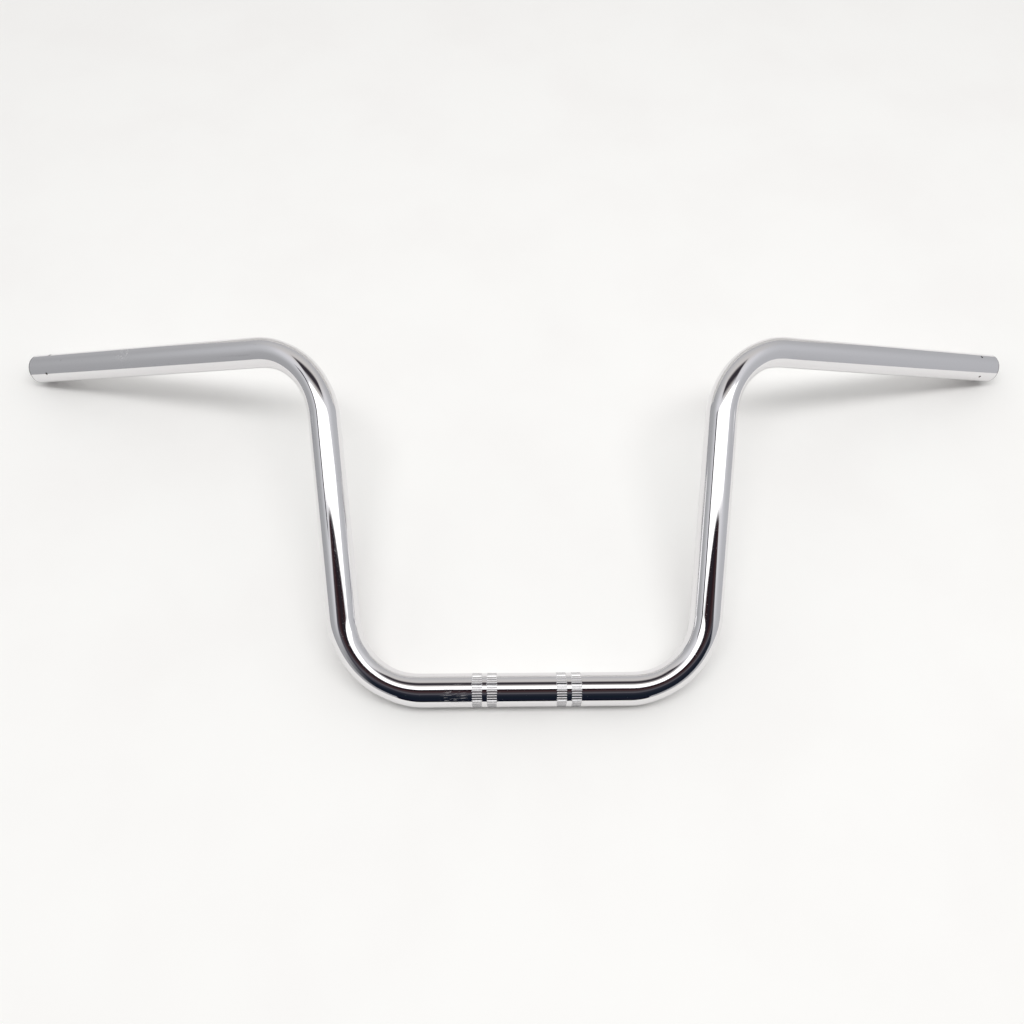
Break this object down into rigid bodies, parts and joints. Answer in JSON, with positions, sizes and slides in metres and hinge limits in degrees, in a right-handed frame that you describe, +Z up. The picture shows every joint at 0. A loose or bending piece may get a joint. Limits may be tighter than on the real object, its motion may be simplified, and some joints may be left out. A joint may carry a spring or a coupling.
{
  "type": "motorcycle handlebar",
  "caption": "Bent chromed tube handlebar with two risers, a knurled clamp section and two straight grip ends.",
  "frame": {"origin": "middle of the clamp section, on the tube's axis", "axes": "+X to the right along the clamp section, +Y from the clamp section to the bar ends, +Z up with the bar lying on its clamp section and its two ends"},
  "size_m": [0.7842, 0.2896, 0.0941],
  "materials": {
    "chrome": "bright chrome plate, lightly scratched"
  },
  "bodies": {
    "root": {"handlebar": "chrome"}
  },
  "joints": []
}
